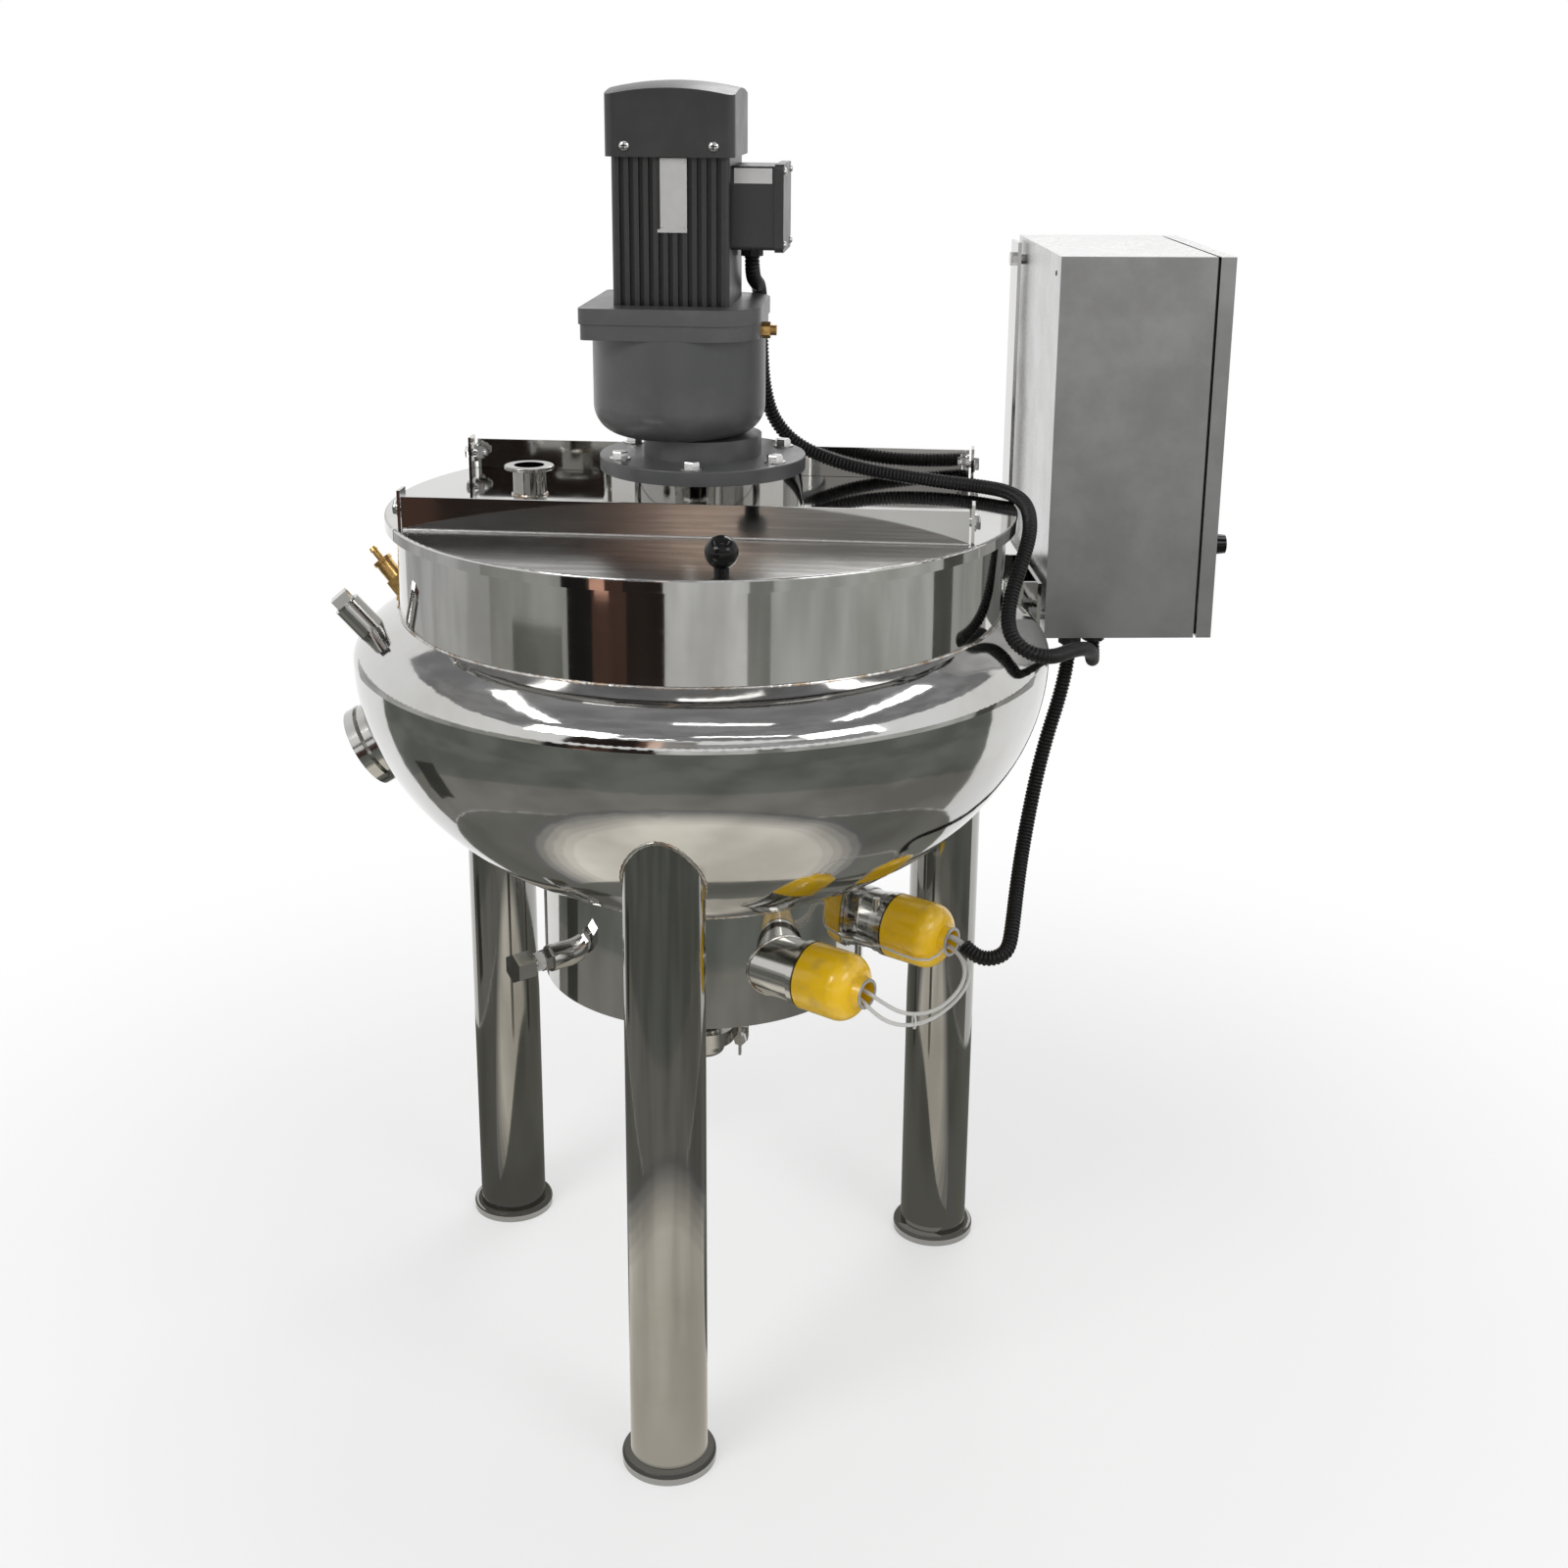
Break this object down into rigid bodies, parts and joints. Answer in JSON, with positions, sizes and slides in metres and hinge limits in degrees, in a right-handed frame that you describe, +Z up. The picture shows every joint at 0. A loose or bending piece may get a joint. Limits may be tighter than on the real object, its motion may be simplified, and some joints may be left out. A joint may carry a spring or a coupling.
{
  "type": "jacketed kettle",
  "caption": "Electric jacketed cooking kettle on tube legs: split hinged lid, gear motor and agitator on top, heater well below and a side control cabinet.",
  "frame": {"origin": "on the floor, under the middle of the kettle's whole footprint without its conduits and leads; the pot's own axis stands at x -0.0863 m, y -0.0303 m", "axes": "+Z up; -Y towards the front leg and the front half lid; +X towards the control cabinet; the lids' hinge lines run along X"},
  "size_m": [0.9162, 0.7646, 1.311],
  "materials": {
    "polished_steel": "mirror-polished stainless steel",
    "brushed_steel": "brushed stainless steel",
    "bright_fasteners": "bright stainless steel",
    "black_knob": "glossy black",
    "charcoal_paint": "satin charcoal paint",
    "brass": "plain brass",
    "label_aluminium": "matt silver plate",
    "sight_glass": "clear thick glass",
    "yellow_plastic": "shiny yellow moulding",
    "conduit_plastic": "corrugated black plastic",
    "lead_sleeve": "white woven sleeve"
  },
  "bodies": {
    "kettle": {"pot_wall": "polished_steel", "pot_bottom": "polished_steel", "jacket_shell": "polished_steel", "heater_well": "polished_steel", "front_leg": "polished_steel", "right_leg": "polished_steel", "left_leg": "polished_steel", "leg_feet": "polished_steel", "lid_bridge": "polished_steel", "lid_port": "polished_steel", "motor_spool": "polished_steel", "output_flange": "charcoal_paint", "lid_bolts": "bright_fasteners", "gear_case": "charcoal_paint", "gear_plate": "charcoal_paint", "motor_body": "charcoal_paint", "fan_cover": "charcoal_paint", "terminal_box": "charcoal_paint", "terminal_cover": "charcoal_paint", "oil_plug": "brass", "name_plate": "label_aluminium", "agitator": "brushed_steel", "outlet_ferrule": "brushed_steel", "outlet_cap": "brushed_steel", "outlet_clamp": "brushed_steel", "safety_valve": "brass", "fill_socket": "polished_steel", "fill_plug": "brushed_steel", "sight_glass_body": "polished_steel", "sight_glass_pane": "sight_glass", "drain_stub": "brushed_steel", "heater_sockets": "polished_steel", "heater_caps": "yellow_plastic", "cabinet_body": "brushed_steel", "cabinet_bracket": "polished_steel", "cabinet_bolts": "bright_fasteners", "motor_conduit": "conduit_plastic", "heater_conduit": "conduit_plastic", "heater_leads": "lead_sleeve"},
    "front_lid": {"front_lid": "polished_steel", "front_lid_knob": "black_knob"},
    "back_lid": {"back_lid": "polished_steel", "back_lid_knob": "black_knob"},
    "cabinet_door": {"cabinet_door": "brushed_steel"},
    "door_knob": {"door_knob": "black_knob"}
  },
  "joints": [
    {"name": "front_lid_hinge", "type": "hinge", "parent": "kettle", "child": "front_lid", "pos_m": [-0.08625, -0.1733, 0.921], "axis": [-1, 0, 0], "range_deg": [0, 85]},
    {"name": "back_lid_hinge", "type": "hinge", "parent": "kettle", "child": "back_lid", "pos_m": [-0.08625, 0.1127, 0.921], "axis": [1, 0, 0], "range_deg": [0, 85]},
    {"name": "cabinet_door_hinge", "type": "hinge", "parent": "kettle", "child": "cabinet_door", "pos_m": [0.39484, 0.37733, 0.9423], "axis": [0, 0, 1], "range_deg": [0, 110]},
    {"name": "door_knob_turn", "type": "hinge", "parent": "cabinet_door", "child": "door_knob", "pos_m": [0.43698, 0.14278, 0.8343], "axis": [0.9919, 0.1271, 0], "range_deg": [0, 90]}
  ]
}
